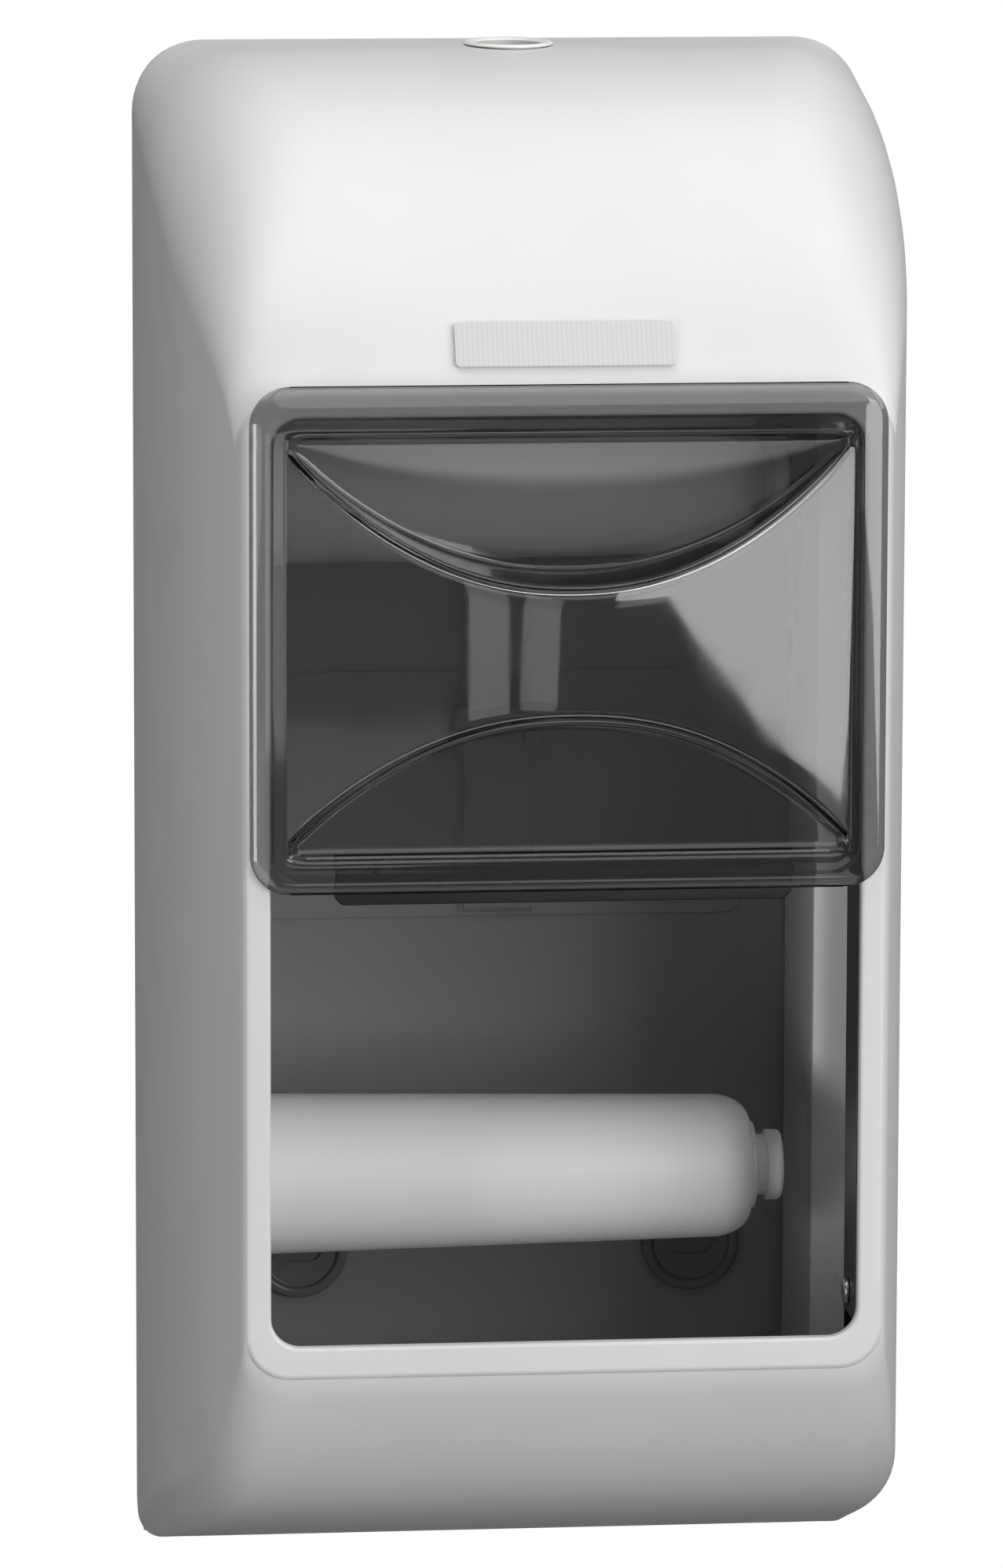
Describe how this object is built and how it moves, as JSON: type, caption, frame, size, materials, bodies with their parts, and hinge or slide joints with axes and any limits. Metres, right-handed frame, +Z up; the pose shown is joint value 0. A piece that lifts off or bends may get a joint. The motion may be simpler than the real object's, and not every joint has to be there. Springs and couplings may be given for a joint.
{
  "type": "double roll toilet paper dispenser",
  "caption": "Wall-hung toilet paper dispenser with stacked roll spindles, a hinged white cover and a smoked shutter that slides down over the used roll.",
  "frame": {"origin": "middle of the back plate's rear face, on the wall", "axes": "+X to the right seen from the front, +Y into the wall, +Z up"},
  "size_m": [0.154, 0.1453, 0.32],
  "materials": {
    "white_abs": "fine satin moulded",
    "white_acetal": "satin moulded",
    "dark_grey_plastic": "polished moulded",
    "smoked_clear_plastic": "polished, smoke tinted, see-through",
    "black_plastic": "satin",
    "badge_grey": "fine vertical lines",
    "black_rubber": "matt",
    "zinc_steel": "zinc plated",
    "spring_steel": "drawn wire"
  },
  "bodies": {
    "wall_frame": {"back_plate": "dark_grey_plastic", "screw_cup_lower_left": "dark_grey_plastic", "screw_cup_lower_right": "dark_grey_plastic", "screw_cup_upper_left": "dark_grey_plastic", "screw_cup_upper_right": "dark_grey_plastic", "hinge_pin_left": "zinc_steel", "hinge_pin_right": "zinc_steel", "lower_axle": "zinc_steel", "lower_axle_nut": "zinc_steel", "lower_washer": "zinc_steel", "lower_axle_cap": "white_acetal", "upper_axle": "zinc_steel", "upper_axle_nut": "zinc_steel", "upper_washer": "zinc_steel", "upper_axle_cap": "white_acetal", "latch_spring": "spring_steel"},
    "latch": {"latch": "smoked_clear_plastic"},
    "lower_spindle": {"lower_spindle": "white_acetal"},
    "upper_spindle": {"upper_spindle": "white_acetal"},
    "cover": {"cover": "white_abs", "badge_plate": "badge_grey", "lock_escutcheon": "zinc_steel", "latch_keeper": "zinc_steel", "keeper_screw_left": "zinc_steel", "keeper_screw_right": "zinc_steel", "roll_guard": "dark_grey_plastic", "guard_screw_lower": "zinc_steel", "guard_screw_upper": "zinc_steel", "rail_left": "black_plastic", "rail_right": "black_plastic", "rail_screw_left_lower": "zinc_steel", "rail_screw_left_upper": "zinc_steel", "rail_screw_right_lower": "zinc_steel", "rail_screw_right_upper": "zinc_steel"},
    "shutter": {"shutter": "smoked_clear_plastic", "grip_bar": "black_plastic", "grip_pin_left": "zinc_steel", "grip_pin_right": "zinc_steel", "shutter_shoe_left": "black_rubber", "shutter_shoe_right": "black_rubber"}
  },
  "joints": [
    {"name": "cover_swing", "type": "hinge", "parent": "wall_frame", "child": "cover", "pos_m": [0, -0.008, -0.1543], "axis": [1, 0, 0], "range_deg": [0, 90]},
    {"name": "shutter_slide", "type": "slide", "parent": "cover", "child": "shutter", "axis": [0, 0, 1], "range_m": [-0.094, 0]},
    {"name": "latch_press", "type": "slide", "parent": "wall_frame", "child": "latch", "axis": [0, 0, 1], "range_m": [-0.004, 0], "stiffness_N_per_m": 400, "springref_m": 0.004, "deforming": ["latch_spring"]},
    {"name": "lower_spindle_spin", "type": "hinge", "parent": "wall_frame", "child": "lower_spindle", "pos_m": [0, -0.067, -0.0694], "axis": [1, 0, 0], "continuous": true},
    {"name": "upper_spindle_spin", "type": "hinge", "parent": "wall_frame", "child": "upper_spindle", "pos_m": [0, -0.067, 0.0741], "axis": [1, 0, 0], "continuous": true}
  ]
}
